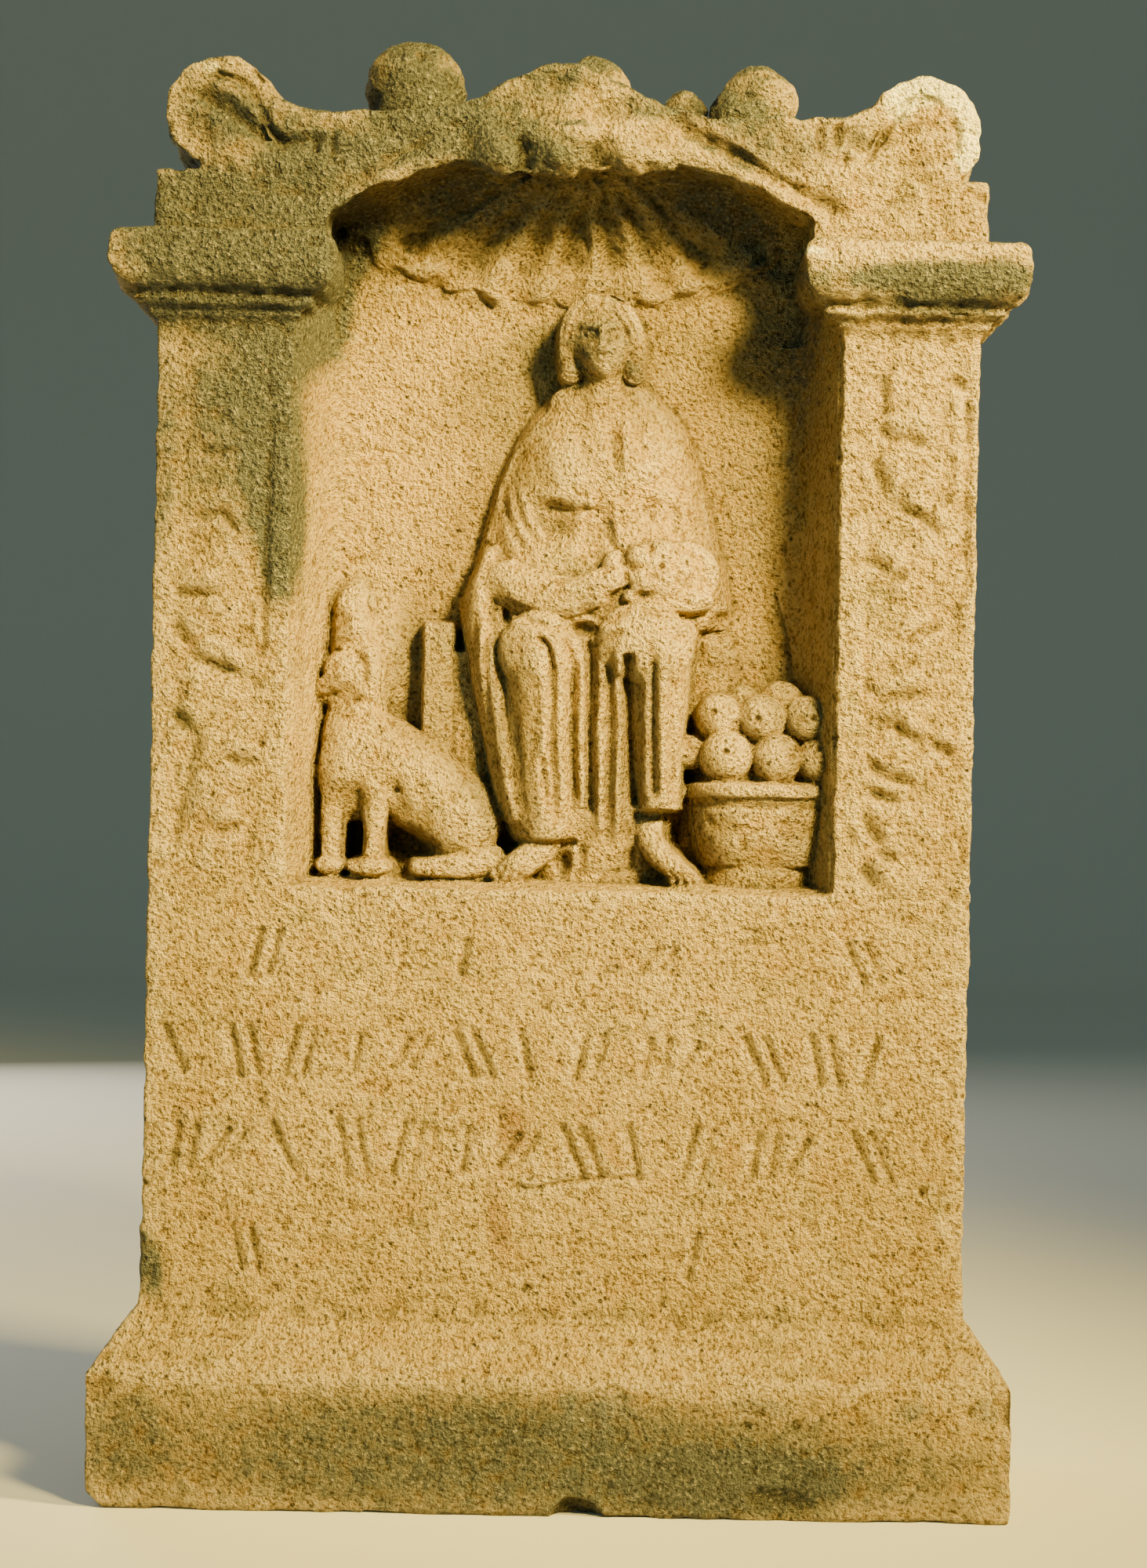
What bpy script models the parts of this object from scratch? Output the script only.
"""A votive altar of one carved stone, in metres, +Z up, front towards -Y.

It stands on its own plinth. Above a field of shallow strokes a niche between two pilasters
holds a seated goddess, a dog and a basket of fruit, under the ribs of a shell. The crown has
two bolsters and some fruit. The origin is at the middle of the underside.
"""

import math

import bmesh
import bpy
from mathutils import Matrix, Vector

# Block
PLINTH_WIDTH = 0.568
PLINTH_DEPTH = 0.260
PLINTH_HEIGHT = 0.082
PLINTH_OVERHANG = 0.0285
MOULDING_HEIGHT = 0.038
FIELD_HEIGHT = 0.263
PILASTER_HEIGHT = 0.3485
CAPITAL_HEIGHT = 0.056
CAPITAL_OVERHANG = 0.0285
ENTABLATURE_HEIGHT = 0.0385
ENTABLATURE_OVERHANG = 0.003
TABLE_HEIGHT = 0.026

# Niche and shell
NICHE_WIDTH = 0.345
NICHE_DEPTH = 0.085
NICHE_SPLAY = 0.018
NICHE_CORNER = 0.028
FLOOR_RISE = 0.009
ARCH_WIDTH = 0.300
ARCH_SPRING = 0.014
ARCH_RISE = 0.037
SHELL_DROP = 0.079
SHELL_SOFFIT = 0.012
SHELL_LIP = 0.005
SHELL_RIB = 0.0022
SHELL_FLUTES = 11

# Crown
RIM_HEIGHT = 0.0385
RIM_THICKNESS = 0.045
CROWN_SETBACK = 0.005
SWELL_HEIGHT = 0.031
SWELL_WIDTH = 0.050
SWELL_X = -0.006
BOLSTER_RADIUS = 0.0355
BOLSTER_SINK = (0.0, 0.006)
BOLSTER_INSET = 0.038
BAND_WIDTH = 0.034
BAND_RISE = 0.003
PLANE_STEP = 0.0008

# Pilaster panels and field
PANEL_WIDTH = 0.063
PANEL_HEIGHT = 0.328
PANEL_DEPTH = 0.005
PANEL_FOOT = 0.003
LEAF_WIDTH = 0.050
LEAF_HEIGHT = 0.074
LEAF_RISE = 0.001
LEAF_LEAN = 24
STROKE_WIDTH = 0.0032
STROKE_PITCH = 0.036
GROOVE_RADIUS = 0.0028

# Figures, each laid out on a grid of parts of its own height
GODDESS_HEIGHT = 0.375
GODDESS_PARTS = 368
GODDESS_X = 0.0
DOG_HEIGHT = 0.188
DOG_PARTS = 184
DOG_X = -0.102
BASKET_HEIGHT = 0.131
BASKET_PARTS = 129
BASKET_X = 0.1225
CARVING_GRAIN = 0.0030
CARVING_SHARE = 0.055

# Wear
CORNER_WEAR = 0.0145
CHIP_WIDTH = 0.034
SPALL_WIDTH = 0.056
BREAK_WIDTH = 0.032

# Heights and planes that follow
FRONT = -PLINTH_DEPTH / 2
BACK = PLINTH_DEPTH / 2
FACE = FRONT + PLINTH_OVERHANG
DIE_HALF = PLINTH_WIDTH / 2 - PLINTH_OVERHANG
MOULDING_TOP = PLINTH_HEIGHT + MOULDING_HEIGHT
FLOOR = MOULDING_TOP + FIELD_HEIGHT
CAPITAL_BOTTOM = FLOOR + PILASTER_HEIGHT
CAPITAL_TOP = CAPITAL_BOTTOM + CAPITAL_HEIGHT
CROWN_BOTTOM = CAPITAL_TOP + ENTABLATURE_HEIGHT
TABLE_TOP = CROWN_BOTTOM + TABLE_HEIGHT
NICHE_BACK = FACE + NICHE_DEPTH
NICHE_HALF = NICHE_WIDTH / 2
ARCH_HALF = ARCH_WIDTH / 2
SPRING = CAPITAL_TOP + ARCH_SPRING
BOLSTER_X = DIE_HALF - BOLSTER_INSET
CROWN_FRONT = FACE - ENTABLATURE_OVERHANG
CROWN_BACK = BACK - CROWN_SETBACK


def clear_scene():
    for thing in list(bpy.data.objects):
        bpy.data.objects.remove(thing, do_unlink=True)


def collection(name):
    group = bpy.data.collections.new(name)
    bpy.context.scene.collection.children.link(group)
    return group


def add_object(name, bm, group):
    """A mesh object from a bmesh, with its faces pointing out."""
    bmesh.ops.recalc_face_normals(bm, faces=bm.faces)
    mesh = bpy.data.meshes.new(name)
    bm.to_mesh(mesh)
    bm.free()
    thing = bpy.data.objects.new(name, mesh)
    group.objects.link(thing)
    return thing


def guide(name, bm, group):
    """A mass or a cutter, kept out of the finished stone's collection."""
    for face in bm.faces:
        face.smooth = "bolster" in name and len(face.verts) == 4
    thing = add_object(name, bm, group)
    thing.hide_render = True
    thing.display_type = "WIRE"
    return thing


def add_prism(bm, outline, front, back):
    """A flat outline of (x, z) points, solid from y = front to y = back."""
    corners = [bm.verts.new((x, front, z)) for x, z in outline]
    face = bm.faces.new(corners)
    deep = bmesh.ops.extrude_face_region(bm, geom=[face])["geom"]
    moved = [item for item in deep if isinstance(item, bmesh.types.BMVert)]
    bmesh.ops.translate(bm, verts=moved, vec=(0, back - front, 0))
    return moved


def add_box(bm, low, high, turn=0.0):
    """A box between two corners, turned about the Y axis through its own middle."""
    low, high = Vector(low), Vector(high)
    place = Matrix.Translation((low + high) / 2) @ Matrix.Rotation(turn, 4, "Y")
    bmesh.ops.create_cube(bm, size=1, matrix=place @ Matrix.Diagonal((high - low).to_4d()))


def add_ball(bm, centre, radii, turn=0.0, segments=12):
    place = Matrix.Translation(centre) @ Matrix.Rotation(turn, 4, "Y") @ Matrix.Diagonal((*radii, 1))
    bmesh.ops.create_uvsphere(bm, u_segments=segments, v_segments=segments // 2, radius=1, matrix=place)


def loft(bm, rings):
    """A closed body through rings of points, each ring with as many points as the next."""
    loops = [[bm.verts.new(co) for co in ring] for ring in rings]
    for low, high in zip(loops, loops[1:]):
        for i in range(len(low)):
            j = (i + 1) % len(low)
            bm.faces.new((low[i], low[j], high[j], high[i]))
    bm.faces.new(loops[0])
    bm.faces.new(loops[-1])


def add_stack(bm, left, right, levels, inner=False):
    """A moulded block: a rectangle that grows by each level's overhang in front and at the sides.

    The back stays flat. The inner side, towards the middle of the altar, grows only where asked.
    """
    rings = []
    for height, overhang in levels:
        grown_left = left - (overhang if inner or left < 0 else 0.0)
        grown_right = right + (overhang if inner or right > 0 else 0.0)
        front = FACE - overhang
        rings.append([
            (grown_left, front, height), (grown_right, front, height),
            (grown_right, BACK, height), (grown_left, BACK, height),
        ])
    loft(bm, rings)


def add_rod(bm, line, level, radius, sides=6):
    """A round rod along a line of (x, z) points that lies at y = level, to cut a groove with."""
    rings = []
    for i, (x, z) in enumerate(line):
        before, after = line[max(0, i - 1)], line[min(len(line) - 1, i + 1)]
        across = Vector((after[1] - before[1], 0, before[0] - after[0])).normalized()
        ring = []
        for k in range(sides):
            turn = 2 * math.pi * (k + 0.25) / sides
            out = math.cos(turn) * across + math.sin(turn) * Vector((0, 1, 0))
            ring.append(Vector((x, level, z)) + radius * out)
        rings.append(ring)
    loft(bm, rings)


def arc(centre, radius, start, end, steps):
    """Points on a circle, from one angle to another, in degrees."""
    turns = [math.radians(start + (end - start) * i / steps) for i in range(steps + 1)]
    return [(centre[0] + radius * math.cos(t), centre[1] + radius * math.sin(t)) for t in turns]


def arch_height(x):
    """The arch's lower edge, a flat segment that drops towards its springings."""
    share = min(1.0, abs(x) / ARCH_HALF)
    return SPRING + ARCH_RISE * (1 - share ** 2.4)


def rim_top(x):
    """The crown's front edge, which swells over the middle and sweeps up into the bolsters."""
    swell = SWELL_HEIGHT * math.exp(-(((x - SWELL_X) / SWELL_WIDTH) ** 2))
    sweep = (abs(x) - BOLSTER_X) / BOLSTER_RADIUS + 1.5
    return CROWN_BOTTOM + RIM_HEIGHT + swell + 0.6 * BOLSTER_RADIUS * min(1, max(0, sweep)) ** 2


# Block

def block():
    """Plinth, base moulding, die and entablature in one moulded stack."""
    bm = bmesh.new()
    rise = MOULDING_HEIGHT
    over = PLINTH_OVERHANG
    levels = [
        (0.0, over),
        (PLINTH_HEIGHT, over),
        (PLINTH_HEIGHT + 0.18 * rise, 0.84 * over),
        (PLINTH_HEIGHT + 0.62 * rise, 0.46 * over),
        (PLINTH_HEIGHT + 0.66 * rise, 0.36 * over),
        (PLINTH_HEIGHT + 0.70 * rise, 0.38 * over),
        (MOULDING_TOP, 0.05 * over),
        (MOULDING_TOP + 0.25 * rise, 0.0),
        (CAPITAL_TOP - 0.1 * CAPITAL_HEIGHT, 0.0),
        (CAPITAL_TOP, ENTABLATURE_OVERHANG),
        (CROWN_BOTTOM, ENTABLATURE_OVERHANG),
    ]
    add_stack(bm, -DIE_HALF, DIE_HALF, levels)
    return bm


def capital(side):
    """A capital that wraps round its pilaster and runs back along the side as a cornice."""
    shares = [
        (0.00, 0.02), (0.07, 0.22), (0.11, 0.15), (0.16, 0.42), (0.22, 0.54), (0.27, 0.42),
        (0.34, 0.74), (0.46, 0.92), (0.62, 1.00), (0.80, 1.00), (0.93, 0.93), (1.00, 0.80),
    ]
    levels = [(CAPITAL_BOTTOM + up * CAPITAL_HEIGHT, out * CAPITAL_OVERHANG) for up, out in shares]
    bm = bmesh.new()
    ends = sorted((side * NICHE_HALF, side * DIE_HALF))
    add_stack(bm, *ends, levels, inner=True)
    return bm


def crown():
    """The flat table on top, between the bolsters."""
    bm = bmesh.new()
    half = BOLSTER_X
    below = CROWN_BOTTOM - ENTABLATURE_HEIGHT / 3
    add_box(bm, (-half, CROWN_FRONT + RIM_THICKNESS / 2, below), (half, CROWN_BACK, TABLE_TOP))
    return bm


def rim():
    bm = bmesh.new()
    half = BOLSTER_X
    below = CROWN_BOTTOM - ENTABLATURE_HEIGHT / 4
    steps = 40
    top = [half - 2 * half * i / steps for i in range(steps + 1)]
    outline = [(-half, below), (half, below)] + [(x, rim_top(x)) for x in top]
    add_prism(bm, outline, CROWN_FRONT - PLANE_STEP, CROWN_FRONT + RIM_THICKNESS)
    return bm


def bolster(side):
    """A round bolster from front to back, with a raised band at its middle."""
    sink = BOLSTER_SINK[0] if side < 0 else BOLSTER_SINK[1]
    centre = Vector((side * BOLSTER_X, 0, CROWN_BOTTOM + BOLSTER_RADIUS - sink))
    lie = Matrix.Rotation(math.pi / 2, 4, "X")
    bm = bmesh.new()
    for radius, start, end in (
        (BOLSTER_RADIUS, CROWN_FRONT - 2 * PLANE_STEP, CROWN_BACK),
        (BOLSTER_RADIUS + BAND_RISE, -BAND_WIDTH / 2, BAND_WIDTH / 2),
    ):
        middle = centre + Vector((0, (start + end) / 2, 0))
        bmesh.ops.create_cone(
            bm, cap_ends=True, segments=28, radius1=radius, radius2=radius,
            depth=end - start, matrix=Matrix.Translation(middle) @ lie,
        )
    return bm


def crown_fruit():
    """Fruit that grows out of the table: x, how far back, how high its middle is, and its radius."""
    bm = bmesh.new()
    for x, behind, up, radius in (
        (-0.1015, 0.079, 0.0375, 0.0318),
        (0.1175, 0.064, 0.0310, 0.0240),
        (0.0122, 0.066, 0.0360, 0.0238),
        (0.0710, 0.088, 0.0270, 0.0150),
    ):
        y = CROWN_FRONT + behind
        add_ball(bm, (x, y, TABLE_TOP + up), (radius, radius, radius), segments=20)
        add_ball(bm, (x, y, TABLE_TOP + up / 2), (0.92 * radius, 0.92 * radius, up), segments=20)
    return bm


def curls():
    bm = bmesh.new()
    level = SPRING + ARCH_RISE + 0.0035
    face = CROWN_FRONT + 0.005
    add_ball(bm, (-0.0440, face, level), (0.0170, 0.0130, 0.0175))
    add_ball(bm, (-0.0080, face, level), (0.0195, 0.0150, 0.0180))
    add_ball(bm, (0.0360, face, level), (0.0145, 0.0130, 0.0165))
    return bm


# Niche

def niche():
    """The hollow between the pilasters: splayed sides, round inner corners, a floor that rises."""
    half_back = NICHE_HALF - NICHE_SPLAY
    corner = NICHE_CORNER
    lead = 2 * PLINTH_OVERHANG
    plan = [(NICHE_HALF + NICHE_SPLAY * lead / NICHE_DEPTH, FACE - lead)]
    plan += arc((half_back - corner, NICHE_BACK - corner), corner, 10, 90, 5)
    plan += [(-x, y) for x, y in reversed(plan)]
    bm = bmesh.new()
    base = [bm.verts.new((x, y, FLOOR)) for x, y in plan]
    face = bm.faces.new(base)
    upper = bmesh.ops.extrude_face_region(bm, geom=[face])["geom"]
    upper = [item for item in upper if isinstance(item, bmesh.types.BMVert)]
    bmesh.ops.translate(bm, verts=upper, vec=(0, 0, CAPITAL_TOP - FLOOR))
    for vert in base:
        vert.co.z += FLOOR_RISE * (vert.co.y - FACE) / NICHE_DEPTH
    return bm


def arch():
    """The arched opening over the capitals, as deep as the niche."""
    steps = 20
    across = [ARCH_HALF - ARCH_WIDTH * i / steps for i in range(steps + 1)]
    below = CAPITAL_TOP - CAPITAL_HEIGHT
    outline = [(-ARCH_HALF, below), (ARCH_HALF, below)] + [(x, arch_height(x)) for x in across]
    bm = bmesh.new()
    add_prism(bm, outline, FACE - PLINTH_OVERHANG, NICHE_BACK)
    return bm


def shell():
    """The shell that lines the arch: flutes fan from the top and end in a scalloped lip."""
    samples = 4 * SHELL_FLUTES
    rows = 7
    bm = bmesh.new()
    bmesh.ops.create_grid(bm, x_segments=samples, y_segments=rows, size=1)
    deepest = NICHE_DEPTH - SHELL_LIP
    for vert in bm.verts:
        turn = vert.co.x * math.pi / 2
        flute = abs(math.sin(SHELL_FLUTES * (turn + math.pi / 2)))
        reach = 0.06 + 0.94 * (vert.co.y + 1) / 2
        reach += 0.05 * flute * reach ** 3
        x = ARCH_HALF * 1.01 * reach * math.sin(turn)
        drop = SHELL_DROP * reach * math.cos(turn) ** 2
        chord = max(1e-6, 1 - (min(reach, 1) * math.sin(turn)) ** 2)
        share = min(1.0, reach * math.cos(turn) ** 2 / chord)
        sweep = (1 - (1 - share) ** 2) ** 0.7
        depth = SHELL_SOFFIT + (deepest - SHELL_SOFFIT) * sweep
        depth += SHELL_RIB * (2 * flute - 1) * min(1, 2 * reach)
        vert.co = (x, FACE + depth, arch_height(x) + 0.004 - drop)
    deep = bmesh.ops.extrude_face_region(bm, geom=list(bm.faces))["geom"]
    for vert in (item for item in deep if isinstance(item, bmesh.types.BMVert)):
        vert.co = (vert.co.x, NICHE_BACK + 0.02, vert.co.z + 0.002)
    return bm


# Pilaster panels and field

def panel(side):
    """A sunk panel on a pilaster."""
    middle = side * (DIE_HALF + NICHE_HALF) / 2
    bottom = FLOOR + PANEL_FOOT
    low = (middle - PANEL_WIDTH / 2, FACE - PANEL_DEPTH, bottom)
    high = (middle + PANEL_WIDTH / 2, FACE + PANEL_DEPTH, bottom + PANEL_HEIGHT)
    bm = bmesh.new()
    add_box(bm, low, high)
    return bm


def leaves(side):
    """Worn leaves that overlap up a panel, leaning left and right in turn."""
    middle = side * (DIE_HALF + NICHE_HALF) / 2
    count = max(1, round(PANEL_HEIGHT / (0.64 * LEAF_HEIGHT)))
    pitch = (PANEL_HEIGHT - LEAF_HEIGHT) / max(1, count - 1)
    bm = bmesh.new()
    for i in range(count):
        lean = (-1) ** i * side
        x = middle + lean * (PANEL_WIDTH - LEAF_WIDTH) / 2
        up = FLOOR + PANEL_FOOT + LEAF_HEIGHT / 2 + pitch * i
        centre = (x, FACE + PANEL_DEPTH + PLANE_STEP, up)
        radii = (LEAF_WIDTH / 2, PANEL_DEPTH + LEAF_RISE, LEAF_HEIGHT / 2)
        add_ball(bm, centre, radii, math.radians(LEAF_LEAN * lean), segments=10)
    return bm


def strokes():
    """Rows of shallow slanted strokes on the field."""
    rows = (
        (0.922, 0.130, 4, 0.124, -0.187),
        (0.610, 0.140, 13, STROKE_PITCH, -0.236),
        (0.385, 0.155, 13, STROKE_PITCH, -0.240),
        (0.145, 0.125, 2, 0.285, -0.197),
    )
    slants = ((0.0, 14, 1.0), (0.0, -24, 0.9), (0.3, 9, 0.8), (0.1, -12, 1.0), (-0.2, 31, 0.6))
    bm = bmesh.new()
    for row, (up, tall, count, pitch, start) in enumerate(rows):
        for i in range(count):
            shift, slant, share = slants[(2 * i + row) % len(slants)]
            x = start + pitch * i + shift * STROKE_PITCH / 2
            length = FIELD_HEIGHT * tall * share
            place = Matrix.Translation((x, FACE, MOULDING_TOP + FIELD_HEIGHT * up))
            place = place @ Matrix.Rotation(math.radians(slant), 4, "Y")
            place = place @ Matrix.Rotation(math.pi / 4, 4, "Z")
            width = STROKE_WIDTH / math.sqrt(2)
            bmesh.ops.create_cube(bm, size=1, matrix=place @ Matrix.Diagonal((width, width, length, 1)))
    return bm


def scrolls():
    """Grooves on the crown's face: a line round each bolster's end, and one along the arch."""
    bm = bmesh.new()
    for side in (-1, 1):
        sink = BOLSTER_SINK[0] if side < 0 else BOLSTER_SINK[1]
        middle = (BOLSTER_X, CROWN_BOTTOM + BOLSTER_RADIUS - sink)
        line = arc(middle, BOLSTER_RADIUS * 0.62, 60, 170, 4)
        line += [(BOLSTER_X - 0.035, middle[1] - 0.018), (BOLSTER_X - 0.065, middle[1] - 0.016)]
        add_rod(bm, [(side * x, z) for x, z in line], CROWN_FRONT, GROOVE_RADIUS)
    along = [ARCH_HALF * share for share in (0.45, 0.58, 0.72, 0.86, 1.0, 1.08)]
    line = [(x, arch_height(x) + 0.030 - 0.12 * x) for x in along]
    add_rod(bm, line, CROWN_FRONT, GROOVE_RADIUS)
    return bm


# Carved figures

class Carving:
    """Masses of one carved group, placed on its own grid: x, forward of the niche's back, up."""

    def __init__(self, x, height, parts):
        self.bm = bmesh.new()
        self.unit = height / parts
        self.origin = Vector((x, NICHE_BACK, FLOOR))

    def spot(self, x, forward, up):
        return self.origin + Vector((x, -forward, up)) * self.unit

    def ball(self, centre, radii, turn=0.0):
        size = [r * self.unit for r in radii]
        add_ball(self.bm, self.spot(*centre), size, math.radians(turn), segments=20)

    def limb(self, *stations):
        """A tapering limb or fold through stations of (x, forward, up, radius)."""
        for x, forward, up, radius in stations:
            self.ball((x, forward, up), (radius, radius, radius))
        for a, b in zip(stations, stations[1:]):
            start, end = self.spot(*a[:3]), self.spot(*b[:3])
            run = end - start
            aim = run.to_track_quat("Z", "Y").to_matrix().to_4x4()
            place = Matrix.Translation((start + end) / 2) @ aim
            bmesh.ops.create_cone(
                self.bm, cap_ends=True, segments=16, radius1=a[3] * self.unit,
                radius2=b[3] * self.unit, depth=run.length, matrix=place,
            )

    def drape(self, *sections, power=2.6, root=-10):
        """A body against the niche's back, lofted through sections of (up, left, right, depth)."""
        steps = 24
        rings = []
        for up, left, right, depth in sections:
            middle, half = (left + right) / 2, (right - left) / 2
            ring = [self.spot(right, root, up)]
            for i in range(steps + 1):
                turn = math.pi * i / steps
                side, out = math.cos(turn), math.sin(turn)
                x = middle + half * math.copysign(abs(side) ** (2 / power), side)
                ring.append(self.spot(x, depth * abs(out) ** (2 / power), up))
            ring.append(self.spot(left, root, up))
            rings.append(ring)
        loft(self.bm, rings)


def goddess(form):
    """A seated woman, seen from the front, in a short cape over a long gown, with fruit in her lap."""
    form.ball((20, 38, 338), (30, 27, 30))
    form.ball((21, 53, 331), (17, 17, 22))
    form.limb((22, 44, 318, 14), (24, 38, 300, 16))
    form.limb((8, 52, 352, 8), (-3, 50, 340, 8), (-4, 46, 322, 6))
    form.limb((30, 54, 354, 7), (42, 50, 342, 7), (43, 46, 324, 6))
    form.drape(
        (312, 2, 46, 30), (306, -8, 58, 38), (298, -20, 66, 44), (286, -27, 73, 50),
        (271, -35, 78, 54), (251, -42, 86, 57), (240, -46, 89, 59), (232, -46, 90, 54), power=3.0,
    )
    form.drape(
        (240, -47, 89, 51), (206, -55, 98, 50), (181, -61, 102, 50), (166, -65, 103, 52),
        (150, -60, 99, 48), power=3.4,
    )
    form.limb((-24, 28, 268, 15), (-36, 34, 228, 16), (-42, 42, 198, 17))
    form.limb((-44, 46, 196, 15), (-10, 54, 190, 13), (24, 60, 189, 9))
    form.limb((66, 28, 268, 15), (80, 34, 228, 16), (85, 42, 200, 16), (74, 54, 190, 12))
    form.drape((180, -58, 100, 56), (172, -62, 102, 66), (158, -58, 98, 72), (146, -52, 90, 68))
    form.drape(
        (172, -42, 14, 60), (160, -46, 15, 74), (136, -50, 14, 78), (116, -50, 14, 77),
        (96, -47, 14, 75), (76, -42, 15, 73), (56, -37, 17, 72), (41, -30, 18, 71), (31, -20, 16, 68),
    )
    form.drape((150, 8, 50, 57), (100, 8, 50, 56), (46, 12, 48, 56), (42, 14, 46, 52))
    form.drape((150, 18, 37, 66), (100, 18, 37, 66), (46, 19, 38, 66), (42, 20, 37, 62))
    form.drape(
        (172, 38, 88, 60), (158, 40, 84, 73), (136, 44, 78, 76), (100, 45, 76, 73), (52, 46, 75, 69),
        (47, 46, 75, 64),
    )
    folds = (
        (-8, 136, 60, 76), (4, 134, 50, 74), (10, 120, 48, 70), (23, 140, 46, 66), (32, 144, 48, 67),
        (48, 140, 52, 70), (55, 142, 52, 74), (63, 140, 52, 73), (71, 132, 52, 68),
    )
    for x, top, low, depth in folds:
        middle = (top + low) / 2
        form.limb((x, depth, top, 3.8), (x + 0.5, depth - 2, middle, 3.8), (x + 1, depth - 4, low, 3.4))
    for x, up, radius in ((48, 203, 12), (66, 203, 11), (81, 200, 9), (57, 193, 10), (33, 200, 7)):
        form.ball((x, 60, up), (radius, radius, radius))
    form.drape((46, -36, 60, 52), (34, -36, 66, 54), (10, -38, 78, 54), (-8, -38, 80, 54))
    form.drape((40, 0, 38, 62), (12, -2, 42, 65), (-8, -2, 42, 65))
    form.ball((-24, 66, 12), (17, 17, 11))
    form.limb((55, 50, 46, 10), (56, 56, 22, 10))
    form.ball((63, 64, 12), (19, 16, 10), 8)


def chair(form):
    """The chair's post and seat, which show at the goddess's right hand, and a stub at her left."""
    form.drape((-6, -88, -50, 30), (146, -88, -50, 30), (150, -88, -50, 26), power=8)
    form.drape((98, -88, -66, 40), (158, -88, -66, 40), (164, -85, -68, 38), power=7)
    form.drape((-8, -62, 84, 24), (150, -62, 84, 24), power=8)
    form.drape((110, 80, 107, 34), (160, 84, 107, 34), power=8)


def dog(form):
    """A seated dog, its worn head raised."""
    form.limb((-14, 40, 80, 27), (4, 40, 72, 30), (30, 38, 54, 31), (44, 36, 34, 25))
    form.limb((-28, 40, 60, 22), (-27, 38, 94, 20))
    form.ball((-28, 44, 68), (20, 25, 40))
    form.limb((-28, 44, 104, 18), (-27, 44, 140, 16), (-31, 40, 169, 13))
    form.limb((-45, 52, 117, 4), (-28, 62, 119, 4), (-11, 54, 121, 4))
    form.limb((-46, 30, 120, 8), (-58, 32, 110, 9), (-72, 36, 112, 8))
    form.limb((-38, 52, 62, 11), (-39, 52, 20, 8), (-43, 62, 11, 8))
    form.limb((-15, 56, 66, 12), (-13, 58, 20, 8), (-20, 68, 11, 8))
    form.ball((35, 50, 36), (28, 26, 26))
    form.limb((50, 58, 13, 9), (18, 64, 12, 8))
    form.drape((-8, -56, 68, 52), (6, -56, 66, 50), (11, -50, 62, 42), power=4)


def basket(form):
    """A round basket on a foot, heaped with fruit."""
    form.drape(
        (-8, -36, 32, 58), (17, -36, 32, 56), (19, -32, 30, 52), (24, -34, 36, 58),
        (34, -38, 39, 64), (50, -43, 43, 68), (55, -44, 44, 67), (56, -43, 43, 63),
        (58, -46, 45, 68), (68, -46, 45, 70), (70, -42, 42, 64), power=2.2,
    )
    fruit = (
        (-39, 56, 84, 9), (-19, 56, 84, 16.5), (13, 56, 83, 15), (36, 56, 82, 12),
        (-23, 50, 108, 15), (2, 50, 107, 15), (30, 50, 108, 13.5), (13, 36, 116, 14), (-8, 36, 117, 10),
    )
    for x, forward, up, radius in fruit:
        form.ball((x, forward, up), (radius, radius, radius))
        form.limb((x, forward, up, radius * 0.6), (x, 10, up, radius * 0.8))
    form.drape((66, -40, 38, 36), (110, -36, 40, 28), (120, -14, 28, 22), power=3)


def figures(group):
    """The carved group as one body, softened as worn stone is."""
    lady = Carving(GODDESS_X, GODDESS_HEIGHT, GODDESS_PARTS)
    goddess(lady)
    chair(lady)
    hound = Carving(DOG_X, DOG_HEIGHT, DOG_PARTS)
    dog(hound)
    fruit_basket = Carving(BASKET_X, BASKET_HEIGHT, BASKET_PARTS)
    basket(fruit_basket)
    whole = bmesh.new()
    masses = [form.bm for form in (lady, hound, fruit_basket)]
    masses += [leaves(-1), leaves(1), curls(), crown_fruit()]
    for bm in masses:
        bmesh.ops.recalc_face_normals(bm, faces=bm.faces)
        mesh = bpy.data.meshes.new("form")
        bm.to_mesh(mesh)
        bm.free()
        whole.from_mesh(mesh)
        bpy.data.meshes.remove(mesh)
    thing = guide("figures", whole, group)
    remesh = thing.modifiers.new("one body", "REMESH")
    remesh.mode = "VOXEL"
    remesh.voxel_size = CARVING_GRAIN
    soften = thing.modifiers.new("soften", "SMOOTH")
    soften.factor = 0.4
    soften.iterations = 2
    thin = thing.modifiers.new("thin", "DECIMATE")
    thin.ratio = CARVING_SHARE
    remesh.use_smooth_shade = True
    return thing


# Wear

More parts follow.
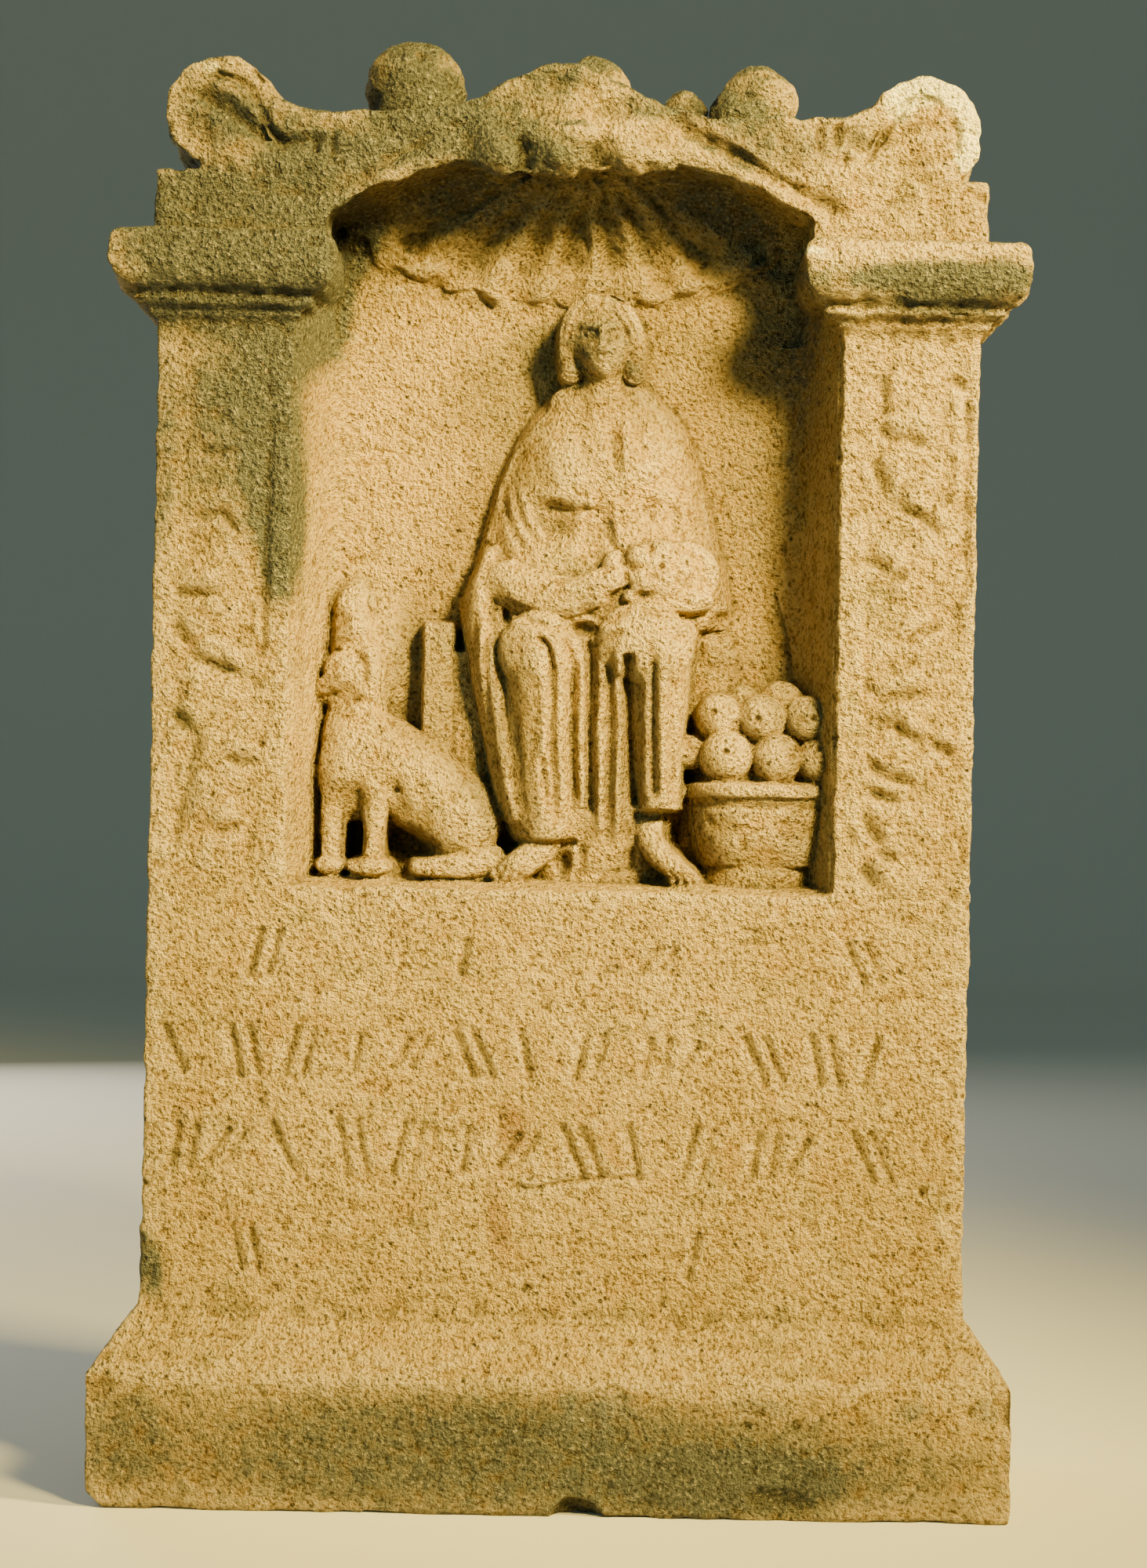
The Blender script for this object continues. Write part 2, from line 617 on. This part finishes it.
def wear():
    """Chips and a worn corner on the plinth, and the broken edges higher up."""
    bm = bmesh.new()
    edge = Vector((-PLINTH_WIDTH / 2, FRONT, 0))
    half = CORNER_WEAR / 2
    reach = Vector((half, 0.02, half))
    add_box(bm, edge - reach, edge + Vector((half, 0.12, half)), math.radians(45))
    chip = (CHIP_WIDTH / 2, 0.022, 0.014)
    spall = (SPALL_WIDTH / 2, 0.009, 0.011)
    add_ball(bm, (0.018, FRONT - 0.0013, -0.0017), chip, math.radians(7), segments=10)
    add_ball(bm, (0.142, FRONT - 0.0023, 0.0103), spall, math.radians(5), segments=10)
    corner = Vector((BOLSTER_X + BOLSTER_RADIUS, CROWN_FRONT, CROWN_BOTTOM + 2 * BOLSTER_RADIUS))
    half = BREAK_WIDTH / 2
    reach = Vector((half, 0.02, half))
    add_box(bm, corner - reach, corner + Vector((half, 0.05, half)), math.radians(40))
    return bm


def stone_material():
    material = bpy.data.materials.new("weathered limestone")
    material.use_nodes = True
    shader = material.node_tree.nodes["Principled BSDF"]
    shader.inputs["Base Color"].default_value = (0.56, 0.42, 0.24, 1)
    shader.inputs["Roughness"].default_value = 0.9
    shader.inputs["Metallic"].default_value = 0.0
    return material


def carve(stone, tool, operation, overlapping=False):
    """Joins or cuts the stone with another body, which may be made of overlapping masses."""
    step = stone.modifiers.new(tool.name, "BOOLEAN")
    step.operation = operation
    step.solver = "EXACT"
    step.use_self = overlapping
    step.object = tool


def main():
    clear_scene()
    altar_group = collection("votive altar")
    cutters = collection("cutters")
    stone = add_object("altar", block(), altar_group)
    stone.data.materials.append(stone_material())
    steps = [
        ("crown table", crown(), "UNION"),
        ("crown rim", rim(), "UNION"),
        ("left bolster", bolster(-1), "UNION"),
        ("right bolster", bolster(1), "UNION"),
        ("niche hollow", niche(), "DIFFERENCE"),
        ("arch opening", arch(), "DIFFERENCE"),
        ("left capital", capital(-1), "UNION"),
        ("right capital", capital(1), "UNION"),
        ("shell", shell(), "UNION"),
        ("left panel", panel(-1), "DIFFERENCE"),
        ("right panel", panel(1), "DIFFERENCE"),
        ("strokes", strokes(), "DIFFERENCE"),
        ("scrolls", scrolls(), "DIFFERENCE"),
        ("wear", wear(), "DIFFERENCE"),
    ]
    overlapping = ("left bolster", "right bolster")
    for name, bm, operation in steps:
        carve(stone, guide(name, bm, cutters), operation, name in overlapping)
    carve(stone, figures(cutters), "UNION")


main()
